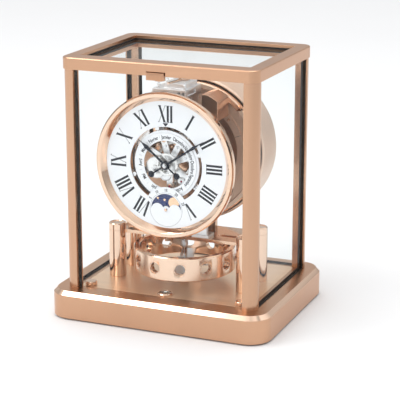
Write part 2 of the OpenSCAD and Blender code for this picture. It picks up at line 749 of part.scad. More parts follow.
module center_wheel() color(steel) {
    rod(center, hand_tip_y + 1.2, back_plate_y + plate_t + 0.4, center_r);
    spoked_wheel(center, wheel_y, wheel_y + 1.5, wheel_n, train_m, 0, 2.2, 3.6, 5, 2);
    pinion(center, slow_y - 0.5, slow_y + 1.7, pinion_n, train_m, 0);
}

module escape_wheel() color(steel) {
    rod(escape, front_plate_y + 0.4, back_plate_y + plate_t - 0.4, arbor_r);
    pinion(escape, wheel_y - 0.5, wheel_y + 2, pinion_n, train_m,
           mesh_turn(270, 0, wheel_n, pinion_n));
    upright(escape, escape_y, escape_y + 1) difference() {
        polygon([for (i = [0 : escape_teeth - 1])
            for (k = [[escape_r, 0], [escape_r - 2.2, 0.18], [escape_r - 2.2, 0.8], [escape_r, 0.94]])
            k[0] * [cos((i + k[1]) * 360 / escape_teeth), sin((i + k[1]) * 360 / escape_teeth)]]);
        for (i = [0 : 4]) rotate(i * 72) translate([3.9, 0]) circle(1.5);
    }
}

// The anchor between the plates, its arbor, and the fork behind the back plate that meets the impulse pin
module pallet_fork() color(steel) {
    fork_back = axis_y - impulse_r - 0.4;
    rod(pallet, front_plate_y + plate_t / 2 + 0.1, fork_back, arbor_r);
    upright(pallet, escape_y - 0.2, escape_y + 1.2) {
        circle(2.2);
        for (s = [-1, 1]) {
            polygon([[0, -1.4], [s * 8.6, 5.4], [s * 7.4, 6.6], [0, 1.4]]);
            translate([s * 8, 6.6]) rotate(s * -38) square([1.6, 3.2], center = true);
        }
    }
    upright(pallet, fork_back - 0.7, fork_back) difference() {
        union() {
            circle(2.4);
            translate([-1, roller_z + 8 - pallet[1]]) square([2, pallet[1] - roller_z - 8]);
            translate([-2.6, roller_z + 3.6 - pallet[1]]) square([5.2, 6]);
        }
        translate([-1.35, roller_z + 3 - pallet[1]]) square([2.7, 4]);
    }
}

// ---- motion work and hands ----

motion_y = -45.6;              // front of the cannon pinion's leaves
hour_wheel_y = -47.8;
hour_hand_y = -51.2;
minute_hand_y = -52.7;
hand_t = 0.5;

module cannon_pinion() color(steel) difference() {
    union() {
        rod(center, minute_hand_y - 0.2, motion_y + 2.6, cannon_r);
        pinion(center, motion_y, motion_y + 2.6, cannon_n, train_m, 0);
    }
    rod(center, minute_hand_y - 1, motion_y + 4, center_r);
}

module minute_wheel() color(steel) difference() {
    union() {
        pinion(minute_c, motion_y + 0.2, motion_y + 1.4, minute_n, train_m,
               mesh_turn(minute_dir, 0, cannon_n, minute_n));
        pinion(minute_c, hour_wheel_y, motion_y + 0.3, minute_pinion_n, hour_m, 0);
    }
    rod(minute_c, hour_wheel_y - 1, motion_y + 3, arbor_r + slack);
}

module hour_wheel() color(steel) difference() {
    union() {
        spoked_wheel(center, hour_wheel_y, hour_wheel_y + 1.2, hour_n, hour_m,
                     mesh_turn(minute_dir - 180, 0, minute_pinion_n, hour_n), 1.8, 3.8, 4, 1.6);
        rod(center, hour_hand_y - 0.2, hour_wheel_y + 1, hour_pipe_r);
    }
    rod(center, hour_hand_y - 1, hour_wheel_y + 3, cannon_r + slack);
}

// A hand that points to +Y of its own plane: a slim blade with a leaf near its tip, and a round counterweight
module hand_outline(length, tail, hub, bore, leaf) difference() {
    union() {
        circle(hub);
        polygon([[0.75, 0], [0.55, length * leaf - 4], [1.3, length * leaf], [0.35, length * leaf + 5],
                 [0.12, length], [-0.12, length], [-0.35, length * leaf + 5], [-1.3, length * leaf],
                 [-0.55, length * leaf - 4], [-0.75, 0]]);
        translate([-0.5, -tail]) square([1, tail - 0.5]);
        translate([0, -tail]) circle(2.5);
    }
    circle(bore);
}

module hour_hand() color([0.08, 0.1, 0.16]) upright(center, hour_hand_y, hour_hand_y + hand_t, -hour_angle)
    hand_outline(hour_len, 13.2, 3.9, hour_pipe_r, 0.68);

module minute_hand() color([0.08, 0.1, 0.16])
    upright(center, minute_hand_y, minute_hand_y + hand_t, -minute_angle) hand_outline(minute_len, 14.6, 3.5, cannon_r, 0.74);

module hand_nut() color(rose) turned(center, [[0, hand_tip_y], [1, hand_tip_y], [1.9, hand_tip_y + 0.5],
    [1.9, minute_hand_y - 0.2], [center_r, minute_hand_y - 0.2], [center_r, hand_tip_y + 1.2],
    [0, hand_tip_y + 1.2]]);

// ---- dial ----

// The white ring, and the stepped flange behind its rim
module month_ring() color([0.95, 0.95, 0.97]) turned(center, [[month_ri, month_front], [month_r, month_front],
    [month_r, month_front + 0.8], [month_r + 2.4, month_front + 0.8], [month_r + 2.4, month_front + 3],
    [month_r - 1, month_front + 3], [month_r - 1, month_front + month_t], [month_ri, month_front + month_t]]);

module moon_disc() color([0.12, 0.15, 0.35]) {
    rod(moon_c, moon_front, moon_front + moon_t, moon_open_r + 1);
    rod(moon_c, dial_front - 0.9, dial_front + dial_t, arbor_r);
    rod(moon_c, moon_front - 0.3, front_plate_y + plate_t / 2 - 0.1, arbor_r);
}

module dial() color([0.95, 0.96, 1]) difference() {
    rod(center, dial_front, dial_front + dial_t, seat_r);
    difference() {
        rod(center, dial_front - 1, dial_front + dial_t + 1, opening_r);
        rod(moon_c, dial_front - 2, dial_front + dial_t + 2, moon_scale_r);
    }
    // the moon's window: the upper half of a round opening, less two humps and a boss
    difference() {
        intersection() {
            rod(moon_c, dial_front - 1, dial_front + dial_t + 1, moon_open_r);
            block([-20, dial_front - 2, moon_c[1]], [20, dial_front + 2, moon_c[1] + 20]);
        }
        for (s = [-1, 1]) rod(moon_c + [s * 7.9, -0.6], dial_front - 2, dial_front + dial_t + 2, 5.6);
        rod(moon_c, dial_front - 2, dial_front + dial_t + 2, 3.1);
    }
    rod(moon_c, dial_front - 1, dial_front + 2, arbor_r + slack);
}

module bezel() color(rose) turned(center, [[dial_r, dial_front], [dial_r, dial_front - 0.4],
    [seat_r - 0.1, bezel_front + 0.6], [seat_r + 0.5, bezel_front], [bezel_r - 1.2, bezel_front],
    [bezel_r, bezel_front + 1.2], [bezel_r, bezel_front + 4.6], [bezel_r - 1.8, bezel_front + 5.1],
    [bezel_r - 1.8, bezel_back], [seat_r + 0.05, bezel_back], [seat_r + 0.05, dial_front]]);

// ---- drum and bellows ----

module drum_front() color(rose) difference() {
    turned(center, [[drum_ring_ri, drum_front_y + 0.5], [drum_ring_ri + 0.5, drum_front_y],
        [drum_ring_r - 1, drum_front_y], [drum_ring_r, drum_front_y + 1], [drum_ring_r, shell_y],
        [drum_window_r, shell_y], [drum_window_r, shell_y - 3], [drum_window_r + 6.5, shell_y - 3],
        [drum_window_r + 6.5, shell_y - 2], [drum_ring_ri, shell_y - 2]]);
    rod(center + (drum_ring_r + 1) * [cos(28), sin(28)], drum_front_y - 1, drum_front_y + 4, 2.4);
}

module drum_shell() color(rose) turned(center, [[drum_r - drum_wall, shell_y], [drum_r - 1, shell_y],
    [drum_r, shell_y + 1], [drum_r, rear_y - 1], [drum_r - 1, rear_y], [drum_r - drum_wall, rear_y]]);

module drum_rear_cover() color(rose) turned(center, [[0, rear_y], [drum_r - 1.5, rear_y],
    [drum_r - 1.5, rear_y + rear_t - 1], [drum_r - 2.5, rear_y + rear_t], [drum_r - 12, rear_y + rear_t],
    [drum_r - 14, rear_y + rear_t - 1.5], [0, rear_y + rear_t - 1.5]]);

// The capsule's folded wall: thin sheet that zigzags between two radii
module bellows() color(rose_dark) {
    folds = 5;
    wall = 0.6;
    y0 = disc_y + disc_t;
    pitch = (rear_y - y0) / folds;
    inner = drum_window_r - 7;
    outer = drum_window_r + 7;
    outside = [for (i = [0 : folds - 1]) for (k = [[inner, 0], [outer, 0.5]])
        [k[0] + wall, y0 + (i + k[1]) * pitch]];
    inside = [for (i = [folds - 1 : -1 : 0]) for (k = [[outer, 0.5], [inner, 0]])
        [k[0] - wall, y0 + (i + k[1]) * pitch]];
    turned(center, concat(outside, [[inner + wall, rear_y], [inner - wall, rear_y]], inside));
}

module bellows_disc() color(rose_dark) turned(center, [[0, disc_y - 1.5], [8, disc_y - 1.5], [9, disc_y],
    [drum_window_r - 2, disc_y], [drum_window_r - 1, disc_y + 1], [drum_window_r - 1, disc_y + disc_t],
    [0, disc_y + disc_t]]);

// A saddle on the bridge under the drum, and two arms from the back plate to the drum's front ring
module drum_supports() color(rose) {
    difference() {
        block([-18, shell_y + 1, bridge_z], [18, bridge_back, bridge_z + 9]);
        rod(center, 0, 60, drum_r);
    }
    for (sx = [0, 1]) mirror([sx, 0, 0]) intersection() {
        block([19, back_plate_y + plate_t, dial_z + back_plate_r - 15],
              [33, drum_front_y, dial_z + drum_ring_r - 5]);
        rod(center, back_plate_y, drum_front_y + 1, drum_ring_r);
    }
}

base_pan();
base_cover();
cover_screws();
floor_plate();
rear_foot();
front_foot_left();
front_foot_right();
level_knob_left();
level_knob_right();
level_housing();
level_lens();
lock_lever();
lock_plunger();
corner_posts();
top_frame();
top_glass();
side_glasses();
back_glass();
front_glass();
glass_seals();
door_latch();
bridge_pillars();
pillar_caps();
bridge_plate();
movement_legs();
balance_ring();
balance_arms();
balance_staff();
torsion_wire();
suspension_tube();
suspension_block();
regulator_lever();
front_plate();
back_plate();
plate_pillars();
barrel();
mainspring();
barrel_arbor();
ratchet_wheel();
click();
intermediate_wheel();
center_wheel();
escape_wheel();
pallet_fork();
cannon_pinion();
minute_wheel();
hour_wheel();
hour_hand();
minute_hand();
hand_nut();
month_ring();
moon_disc();
dial();
bezel();
drum_front();
drum_shell();
drum_rear_cover();
bellows();
bellows_disc();
drum_supports();
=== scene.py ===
# Glass-cabinet mantel clock with a torsion pendulum, in metres. The dial faces -Y and +Z is up.
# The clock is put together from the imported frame, one section for each piece or group of like pieces.

import json
import math

import bmesh
import bpy
import numpy as np
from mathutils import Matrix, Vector


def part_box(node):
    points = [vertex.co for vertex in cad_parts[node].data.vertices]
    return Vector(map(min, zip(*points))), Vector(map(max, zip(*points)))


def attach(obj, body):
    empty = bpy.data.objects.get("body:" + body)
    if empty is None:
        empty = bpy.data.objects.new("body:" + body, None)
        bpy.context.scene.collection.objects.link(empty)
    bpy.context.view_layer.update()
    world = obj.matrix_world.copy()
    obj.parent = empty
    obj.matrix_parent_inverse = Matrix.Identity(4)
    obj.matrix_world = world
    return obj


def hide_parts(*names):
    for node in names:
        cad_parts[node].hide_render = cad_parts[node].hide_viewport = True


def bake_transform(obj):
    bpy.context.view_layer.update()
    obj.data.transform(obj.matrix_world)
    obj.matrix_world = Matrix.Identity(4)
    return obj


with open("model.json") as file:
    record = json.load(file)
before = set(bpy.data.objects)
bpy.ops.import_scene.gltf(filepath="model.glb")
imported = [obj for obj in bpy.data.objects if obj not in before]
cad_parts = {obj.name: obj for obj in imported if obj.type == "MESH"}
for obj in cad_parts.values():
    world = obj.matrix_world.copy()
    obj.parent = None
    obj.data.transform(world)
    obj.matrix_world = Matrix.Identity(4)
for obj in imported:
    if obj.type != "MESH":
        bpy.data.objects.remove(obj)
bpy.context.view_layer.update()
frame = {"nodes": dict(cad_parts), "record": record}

# ---- Camera ----
# It stands a little right of the front and a little above, far off with a long lens.

MM = 0.001
scene = bpy.context.scene
look_at = Vector((10.1, 0.0, 95.3)) * MM
side_turn, lift, distance = math.radians(22.48), math.radians(15.57), 1.2754
camera_data = bpy.data.cameras.new("camera")
camera_data.lens, camera_data.sensor_width = 132.92, 36.0
camera_data.clip_start, camera_data.clip_end = 0.05, 30.0
camera = bpy.data.objects.new("camera", camera_data)
scene.collection.objects.link(camera)
away = Vector((math.sin(side_turn) * math.cos(lift), -math.cos(side_turn) * math.cos(lift), math.sin(lift)))
camera.location = look_at + away * distance
camera.rotation_euler = (-away).to_track_quat("-Z", "Y").to_euler()
scene.camera = camera

# ---- Studio ----
# A pale table, a white tent that is brightest overhead and soft at the horizon, and two soft lamps.
# The tent's darker bands give the polished metal something to mirror.

scene.view_settings.view_transform = "Standard"
scene.view_settings.look = "None"


class Nodes:
    """A node tree that is built from left to right."""

    def __init__(self, tree):
        self.tree = tree
        tree.nodes.clear()

    def add(self, kind, links=None, **settings):
        """Adds a node, sets its attributes, and fills its inputs with values or with another node's output."""
        node = self.tree.nodes.new(kind)
        for key, value in settings.items():
            setattr(node, key, value)
        for key, value in (links or {}).items():
            if isinstance(value, bpy.types.NodeSocket):
                self.tree.links.new(value, node.inputs[key])
            else:
                node.inputs[key].default_value = value
        return node

    def ramp(self, factor, stops, interpolation="LINEAR"):
        """A colour ramp from [place, grey or colour] stops."""
        node = self.add("ShaderNodeValToRGB", {"Fac": factor})
        node.color_ramp.interpolation = interpolation
        elements = node.color_ramp.elements
        for i, (place, value) in enumerate(stops):
            element = elements[i] if i < 2 else elements.new(place)
            element.position = place
            element.color = (*([value] * 3 if isinstance(value, (int, float)) else value), 1.0)
        return node.outputs["Color"]


world = bpy.data.worlds.new("tent")
scene.world = world
world.use_nodes = True
sky = Nodes(world.node_tree)
direction = sky.add("ShaderNodeTexCoord").outputs["Generated"]
part = sky.add("ShaderNodeSeparateXYZ", {"Vector": direction})
height = sky.add("ShaderNodeMapRange", {"Value": part.outputs["Z"], "From Min": -1.0, "From Max": 1.0})
overhead = sky.ramp(height.outputs["Result"], [[0.40, 0.62], [0.52, 0.66], [0.64, 0.80], [0.80, 1.45], [1.0, 1.75]])
turn = sky.add("ShaderNodeMath", {0: part.outputs["X"], 1: part.outputs["Y"]}, operation="ARCTAN2")
round_turn = sky.add("ShaderNodeMapRange", {"Value": turn.outputs[0], "From Min": -math.pi, "From Max": math.pi})
band_stops = [[0.0, 1.0], [0.10, 1.25], [0.20, 1.1], [0.27, 0.6], [0.33, 1.15], [0.48, 1.0],
              [0.60, 1.05], [0.70, 1.15], [0.74, 0.5], [0.80, 1.0], [0.92, 0.8], [1.0, 1.0]]
bands = sky.ramp(round_turn.outputs["Result"], band_stops, "EASE")
banded = sky.add("ShaderNodeVectorMath", {0: overhead, 1: bands}, operation="MULTIPLY").outputs[0]
background = sky.add("ShaderNodeBackground", {"Color": banded, "Strength": 0.68})
sky.add("ShaderNodeOutputWorld", {"Surface": background.outputs["Background"]})


def soft_lamp(name, place, size, watts):
    """A square lamp that faces the middle of the clock."""
    data = bpy.data.lights.new(name, "AREA")
    data.shape, data.size, data.energy = "SQUARE", size, watts
    lamp = bpy.data.objects.new(name, data)
    lamp.location = place
    lamp.rotation_euler = (Vector((0, 0, 0.1)) - Vector(place)).to_track_quat("-Z", "Y").to_euler()
    scene.collection.objects.link(lamp)


soft_lamp("key_lamp", (-1.1, -0.7, 1.6), 0.9, 11.0)
soft_lamp("top_lamp", (0.1, 0.3, 1.9), 1.2, 7.0)
soft_lamp("front_lamp", (-0.2, -1.9, 0.9), 0.8, 5.0)


def matter(name, colour, rough=0.4, metal=0.0, mottle=0.04, scale=60.0, stretch=(1, 1, 1), bump=0.0, bump_scale=900.0,
           rough_play=0.04, **more):
    """A surface finish: one colour with a faint mottle, a roughness that wanders a little, and fine lines as a bump.

    The pattern is noise on Object coordinates; stretch makes its grains long along an axis with a small factor."""
    material = bpy.data.materials.new(name)
    material.use_nodes = True
    tree = Nodes(material.node_tree)
    place = tree.add("ShaderNodeTexCoord").outputs["Object"]
    spread = tree.add("ShaderNodeMapping", {"Vector": place, "Scale": stretch}).outputs["Vector"]
    cloud = tree.add("ShaderNodeTexNoise", {"Vector": spread, "Scale": scale, "Detail": 4.0}).outputs["Fac"]
    dark = [c * (1 - mottle) for c in colour]
    light = [min(1.0, c * (1 + mottle)) for c in colour]
    tint = tree.ramp(cloud, [[0.3, dark], [0.7, light]])
    grip = tree.add("ShaderNodeMapRange", {"Value": cloud, "From Min": 0.3, "From Max": 0.7,
                                           "To Min": rough - rough_play / 2, "To Max": rough + rough_play / 2})
    body = tree.add("ShaderNodeBsdfPrincipled", {"Base Color": tint, "Roughness": grip.outputs["Result"],
                                                 "Metallic": metal, **more})
    if bump:
        lines = tree.add("ShaderNodeTexNoise", {"Vector": spread, "Scale": bump_scale, "Detail": 3.0}).outputs["Fac"]
        relief = tree.add("ShaderNodeBump", {"Height": lines, "Strength": bump, "Distance": 0.00005})
        tree.tree.links.new(relief.outputs["Normal"], body.inputs["Normal"])
    tree.add("ShaderNodeOutputMaterial", {"Surface": body.outputs["BSDF"]})
    return material


table_top = bpy.data.meshes.new("table")
table_top.from_pydata([(-9, -9, 0), (9, -9, 0), (9, 9, 0), (-9, 9, 0)], [], [(0, 1, 2, 3)])
table = bpy.data.objects.new("table", table_top)
table_top.materials.append(matter("table_white", (0.86, 0.865, 0.875), rough=0.8, mottle=0.005, scale=3.0))
scene.collection.objects.link(table)

# ---- Base shell ----
# The heavy rose gold plated base: satin sides, and a polished chamfer round its top.
# It is hollow underneath, and the milled edges of it and of every other flat piece are broken by a small bevel.

satin_rose = matter("satin_rose", (0.63, 0.375, 0.24), rough=0.30, metal=1.0, mottle=0.03, scale=25.0,
                    bump=0.05, bump_scale=2500.0)
bright_rose = matter("bright_rose", (0.87, 0.615, 0.46), rough=0.07, metal=1.0, mottle=0.015, scale=15.0,
                     rough_play=0.02)
body_of = {node: body for body, nodes in frame["record"]["behaviour"]["bodies"].items() for node in nodes}
sharp_angle = math.radians(28)


def settle(piece, body, stands_for=(), stretch=None):
    """A finished piece rides on its body and stands for the CAD nodes it replaces.

    A piece with stretch only has its transform baked in and is not attached to a body; the [other body, start, end] in
    stretch are not used."""
    if stretch:
        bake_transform(piece)
    else:
        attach(piece, body)
    if stands_for:
        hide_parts(*stands_for)
    return piece


def machined(node, finish, edge=0.3, segments=2, extra=(), pick=None, stretch=None):
    """A copy of a CAD node with its seams merged, smooth round faces and broken edges.

    pick(normals, centres) gives each face the number of its finish: 0 is finish and 1 or more are from extra."""
    mesh = frame["nodes"][node].data.copy()
    mesh.name = node + "_milled"
    solid = bmesh.new()
    solid.from_mesh(mesh)
    bmesh.ops.remove_doubles(solid, verts=solid.verts, dist=2e-6)
    solid.to_mesh(mesh)
    skin = sum(face.calc_area() for face in solid.faces)
    bmesh.ops.dissolve_limit(solid, angle_limit=math.radians(0.4), verts=solid.verts, edges=solid.edges)
    if abs(sum(face.calc_area() for face in solid.faces) - skin) < 1e-4 * skin:
        solid.to_mesh(mesh)
    else:
        print("kept as triangles:", node)
    solid.free()
    mesh.materials.clear()
    for material in (finish, *extra):
        mesh.materials.append(material)
    if pick:
        count = len(mesh.polygons)
        normals, centres = np.empty(count * 3), np.empty(count * 3)
        mesh.polygons.foreach_get("normal", normals)
        mesh.polygons.foreach_get("center", centres)
        chosen = pick(normals.reshape(-1, 3), centres.reshape(-1, 3)).astype(np.int32)
        mesh.polygons.foreach_set("material_index", chosen)
    mesh.shade_smooth()
    mesh.set_sharp_from_angle(angle=sharp_angle)
    piece = bpy.data.objects.new(node + "_milled", mesh)
    scene.collection.objects.link(piece)
    if edge:
        bevel = piece.modifiers.new("broken_edges", "BEVEL")
        bevel.width, bevel.segments = edge * MM, segments
        bevel.limit_method, bevel.angle_limit = "ANGLE", sharp_angle
        bevel.harden_normals = True
    return settle(piece, body_of[node], [node], stretch)


def base_faces(normals, centres):
    """Sloping faces are the polished chamfer."""
    slope = np.abs(normals[:, 2])
    return np.where((slope > 0.3) & (slope < 0.95), 1, 0)


machined("base_pan", satin_rose, edge=0.35, extra=[bright_rose], pick=base_faces)

# ---- Cover, its screws and the feet ----
# A thin plated cover closes the base from below. The rear foot is fixed and the front ones are threaded.

dull_rose = matter("dull_rose", (0.52, 0.32, 0.21), rough=0.42, metal=1.0, mottle=0.06, scale=40.0, bump=0.08)
ground_steel = matter("ground_steel", (0.50, 0.50, 0.51), rough=0.28, metal=1.0, mottle=0.05, scale=80.0, bump=0.05)
foot_rubber = matter("foot_rubber", (0.035, 0.034, 0.033), rough=0.75, mottle=0.12, scale=200.0, bump=0.3)
machined("base_cover", dull_rose, edge=0.25)
machined("cover_screws", ground_steel, edge=0.15)
for foot in ("rear_foot", "front_foot_left", "front_foot_right"):
    machined(foot, foot_rubber, edge=0.2)

# ---- Floor plate ----
# A brushed rose gold plate let into the base. Its lines run from left to right, so it mirrors what stands on it
# as long soft streaks towards the viewer.

floor_rose = matter("floor_rose", (0.95, 0.67, 0.47), rough=0.33, metal=0.85, mottle=0.07, scale=900.0,
                    stretch=(0.02, 1, 1), bump=0.25, bump_scale=2200.0, rough_play=0.08)
machined("floor_plate", floor_rose, edge=0.15)

# ---- Levelling knobs ----
# Two knurled nuts inside the cabinet, turned in brass and polished, each fixed to a foot's screw.
# Turning one raises or lowers its corner of the clock.

for side in ("left", "right"):
    machined("level_knob_" + side, bright_rose, edge=0.12)

# ---- Spirit level ----
# A round level in a polished ring let into the floor plate: a glass cap over a clear liquid with one bubble.
# A fine black ring on the glass shows where the bubble stands when the base is level.

clear_lens = bpy.data.materials.new("clear_lens")
clear_lens.use_nodes = True
lens_tree = Nodes(clear_lens.node_tree)
lens_through = lens_tree.add("ShaderNodeBsdfTransparent", {"Color": (0.90, 0.95, 0.93, 1)})
lens_gloss = lens_tree.add("ShaderNodeBsdfGlossy", {"Color": (1, 1, 1, 1), "Roughness": 0.02})
lens_facing = lens_tree.add("ShaderNodeLayerWeight", {"Blend": 0.35}).outputs["Facing"]
lens_mix = lens_tree.add("ShaderNodeMixShader", {0: lens_facing, 1: lens_through.outputs[0], 2: lens_gloss.outputs[0]})
lens_tree.add("ShaderNodeOutputMaterial", {"Surface": lens_mix.outputs[0]})
machined("level_housing", bright_rose, edge=0.15)
machined("level_lens", clear_lens, edge=0.2)


def eased(corners, radius, steps=4, closed=True):
    """An outline with each corner swapped for a small arc: a quadratic curve from one edge to the next.

    The curve takes no more than 0.4 of either edge. An open outline keeps its two ends."""
    p = np.asarray(corners, float)
    to_last, to_next = np.roll(p, 1, 0) - p, np.roll(p, -1, 0) - p
    last_len = np.maximum(np.linalg.norm(to_last, axis=1, keepdims=True), 1e-9)
    next_len = np.maximum(np.linalg.norm(to_next, axis=1, keepdims=True), 1e-9)
    cut = np.minimum(radius, 0.4 * np.minimum(last_len, next_len))
    start, end = p + to_last / last_len * cut, p + to_next / next_len * cut
    t = np.linspace(0, 1, steps)[None, :, None]
    arcs = (1 - t) ** 2 * start[:, None] + 2 * t * (1 - t) * p[:, None] + t**2 * end[:, None]
    if closed:
        return arcs.reshape(-1, 2)
    return np.vstack([p[:1], arcs[1:-1].reshape(-1, 2), p[-1:]])


def sheet_faces(rows, columns, wrap_rows, wrap_columns):
    """Four-sided faces between neighbours of a grid of points, joined round where it wraps."""
    i = np.arange(rows if wrap_rows else rows - 1)[:, None]
    j = np.arange(columns if wrap_columns else columns - 1)[None, :]
    i2, j2 = (i + 1) % rows, (j + 1) % columns
    corners = (i * columns + j, i * columns + j2, i2 * columns + j2, i2 * columns + j)
    return np.stack(np.broadcast_arrays(*corners), -1).reshape(-1, 4)


def piece_from(name, points, faces, finish, body, slot, stands_for=(), smooth=True):
    """A closed piece from points in millimetres: doubles merged, faces pointing out, and weighted normals."""
    mesh = bpy.data.meshes.new(name)
    mesh.from_pydata((np.asarray(points) * MM).tolist(), [], [list(map(int, f)) for f in faces])
    solid = bmesh.new()
    solid.from_mesh(mesh)
    bmesh.ops.remove_doubles(solid, verts=solid.verts, dist=1e-6)
    bmesh.ops.recalc_face_normals(solid, faces=solid.faces)
    solid.to_mesh(mesh)
    solid.free()
    mesh.materials.append(finish)
    piece = bpy.data.objects.new(name, mesh)
    scene.collection.objects.link(piece)
    if smooth:
        mesh.shade_smooth()
        mesh.set_sharp_from_angle(angle=math.radians(50))
        piece.modifiers.new("flat_faces", "WEIGHTED_NORMAL").keep_sharp = True
    return settle(piece, body, stands_for)


def lathe(profile, centre, axis="Y", turns=128, closed=True):
    """Points and faces of a turned piece: [radius, along] pairs carried round an axis through centre.

    The angle runs along the rows and the profile along the columns."""
    profile = np.asarray(profile, float)
    angle = np.linspace(0, 2 * np.pi, turns, endpoint=False)[:, None]
    a, b = profile[:, 0] * np.cos(angle), profile[:, 0] * np.sin(angle)
    h = np.broadcast_to(profile[:, 1], (turns, len(profile)))
    x, y, z = centre
    grid = np.stack([x + a, y + h, z + b] if axis == "Y" else [x + a, y + b, z + h], -1).reshape(-1, 3)
    return grid, sheet_faces(turns, len(profile), True, closed)


level_low, level_high = (np.array(corner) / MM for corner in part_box("level_lens"))
level_middle = (level_low + level_high) / 2
bubble_white = matter("bubble_white", (0.85, 0.87, 0.85), rough=0.15, mottle=0.02)
bubble = eased([[0, 0], [1.5, 0], [1.5, 0.45], [0, 0.45]], 0.3, closed=False)
bubble_place = (level_middle[0] + 0.5, level_middle[1], level_high[2] + 0.02)
piece_from("level_bubble", *lathe(bubble, bubble_place, "Z", 32, False), bubble_white, "case", "glass")
ink = matter("dial_ink", (0.008, 0.010, 0.018), rough=0.38, mottle=0.1, scale=300.0)
ring_line = [[2.3, 0], [2.6, 0], [2.6, 0.06], [2.3, 0.06]]
line_place = (level_middle[0], level_middle[1], level_high[2] + 0.01)
piece_from("level_ring", *lathe(ring_line, line_place, "Z", 48), ink, "case", "glass")

# ---- Lock lever and plunger ----
# A flat steel lever under the base lifts a turned plunger, which holds the pendulum while the clock is carried.
# The lever's end comes out through a slot in the left wall of the base.

machined("lock_lever", ground_steel, edge=0.2)
machined("lock_plunger", bright_rose, edge=0.3)

# ---- Corner posts and top frame ----
# Satin posts with a rounded outer corner stand in the base on spigots. They carry a milled frame in one piece,
# which is let down over them and holds the top pane.

post_rose = matter("post_rose", (0.58, 0.35, 0.225), rough=0.22, metal=0.85, mottle=0.04, scale=300.0,
                   stretch=(1, 1, 0.03), bump=0.06, bump_scale=1500.0)
machined("corner_posts", post_rose, edge=0.35)
machined("top_frame", satin_rose, edge=0.35)

# ---- Glass panes ----
# Clear plates with polished edges, held in the metal by their seals. They are too thin to bend what stands behind
# them, so they only let light through and mirror a little of the room.

pane_glass = bpy.data.materials.new("pane_glass")
pane_glass.use_nodes = True
pane = Nodes(pane_glass.node_tree)
through = pane.add("ShaderNodeBsdfTransparent", {"Color": (0.985, 0.995, 0.995, 1)})
mirror = pane.add("ShaderNodeBsdfGlossy", {"Color": (1, 1, 1, 1), "Roughness": 0.01})
facing = pane.add("ShaderNodeLayerWeight", {"Blend": 0.5}).outputs["Facing"]
steep = pane.add("ShaderNodeMath", {0: facing, 1: 5.0}, operation="POWER").outputs[0]
share = pane.add("ShaderNodeMapRange", {"Value": steep, "To Min": 0.012, "To Max": 0.3}).outputs["Result"]
glazed = pane.add("ShaderNodeMixShader", {0: share, 1: through.outputs[0], 2: mirror.outputs[0]})
pane.add("ShaderNodeOutputMaterial", {"Surface": glazed.outputs[0]})


for name in ("top_glass", "back_glass", "front_glass", "side_glasses"):
    machined(name, pane_glass, edge=0.3)

# ---- Seals ----
# Thin black rubber cushions between the panes and the metal, cut from strip and laid into the grooves
# of the posts, the base and the top frame.

seal_black = matter("seal_black", (0.012, 0.012, 0.012), rough=0.6, mottle=0.1, scale=300.0)
machined("glass_seals", seal_black, edge=0)

# ---- Door latch ----
# A small knurled slide under the front rail, milled in brass. It is fixed to the front pane and a spring
# holds it up against the top frame.

machined("door_latch", satin_rose, edge=0.15)

# ---- Bridge ----
# Four polished pillars with cupped caps carry a polished plate with a slot on each side. Two rhodium plated legs
# stand on the plate and hold the movement.

bridge_rose = matter("bridge_rose", (0.78, 0.52, 0.37), rough=0.12, metal=1.0, mottle=0.03, scale=60.0, rough_play=0.03)
rhodium = matter("rhodium", (0.88, 0.88, 0.89), rough=0.34, metal=1.0, mottle=0.04, scale=120.0, bump=0.05)
machined("bridge_pillars", bright_rose, edge=0.25)
machined("pillar_caps", bright_rose, edge=0.2)
machined("bridge_plate", bridge_rose, edge=0.3)
machined("movement_legs", rhodium, edge=0.25)

# ---- Pendulum ----
# A heavy ring with twelve countersunk holes, satin outside and bevelled above, on a hub with four flat arms.
# Two blocks inside it even its weight. A thin flat wire in a tube carries it from the suspension block.

ring_rose = matter("ring_rose", (0.93, 0.67, 0.51), rough=0.25, metal=1.0, mottle=0.015, scale=300.0,
                   stretch=(1, 1, 0.05), bump=0.02, bump_scale=1500.0)
axis_middle = np.array(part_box("balance_ring")).mean(0) / MM
ring_satin_from = 43.0


def ring_faces(normals, centres):
    """The flat outside is satin, and the bevels, the holes and the inside are polished."""
    out = centres[:, :2] / MM - axis_middle[:2]
    radius = np.linalg.norm(out, axis=1)
    outward = (normals[:, :2] * out).sum(1) / np.maximum(radius, 1e-6)
    return np.where((outward > 0.97) & (radius > ring_satin_from), 0, 1)


machined("balance_ring", ring_rose, edge=0.15, extra=[bridge_rose], pick=ring_faces)
machined("balance_arms", rhodium, edge=0.2)
ring_inside, ring_top = 38.8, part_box("balance_ring")[1][2] / MM
block_plan = np.array([[0, 0], [7.5, 0], [7.5, 2.2], [5.6, 3.0], [1.9, 3.0], [0, 2.2]])
balance_block = eased(block_plan, 0.35)


def ring_block(name, turn, low, high):
    """A small polished block screwed to the ring's inner wall: its plan stands between two heights.

    The plan is [along the wall, inwards], and goes round the ring with the angle turn."""
    angle = np.radians(turn) + (balance_block[:, 0] - np.ptp(block_plan[:, 0]) / 2) / ring_inside
    radius = ring_inside + 0.15 - balance_block[:, 1]
    flat = np.stack([axis_middle[0] + radius * np.cos(angle), axis_middle[1] + radius * np.sin(angle)], -1)
    n = len(flat)
    points = np.vstack([np.insert(flat, 2, low, axis=1), np.insert(flat, 2, high, axis=1)])
    ring = np.arange(n)
    after = np.roll(ring, -1)
    faces = [ring[::-1].tolist(), (ring + n).tolist(), *np.stack([ring, after, after + n, ring + n], -1).tolist()]
    return piece_from(name, points, faces, bright_rose, "balance", "rose_polished", smooth=False)


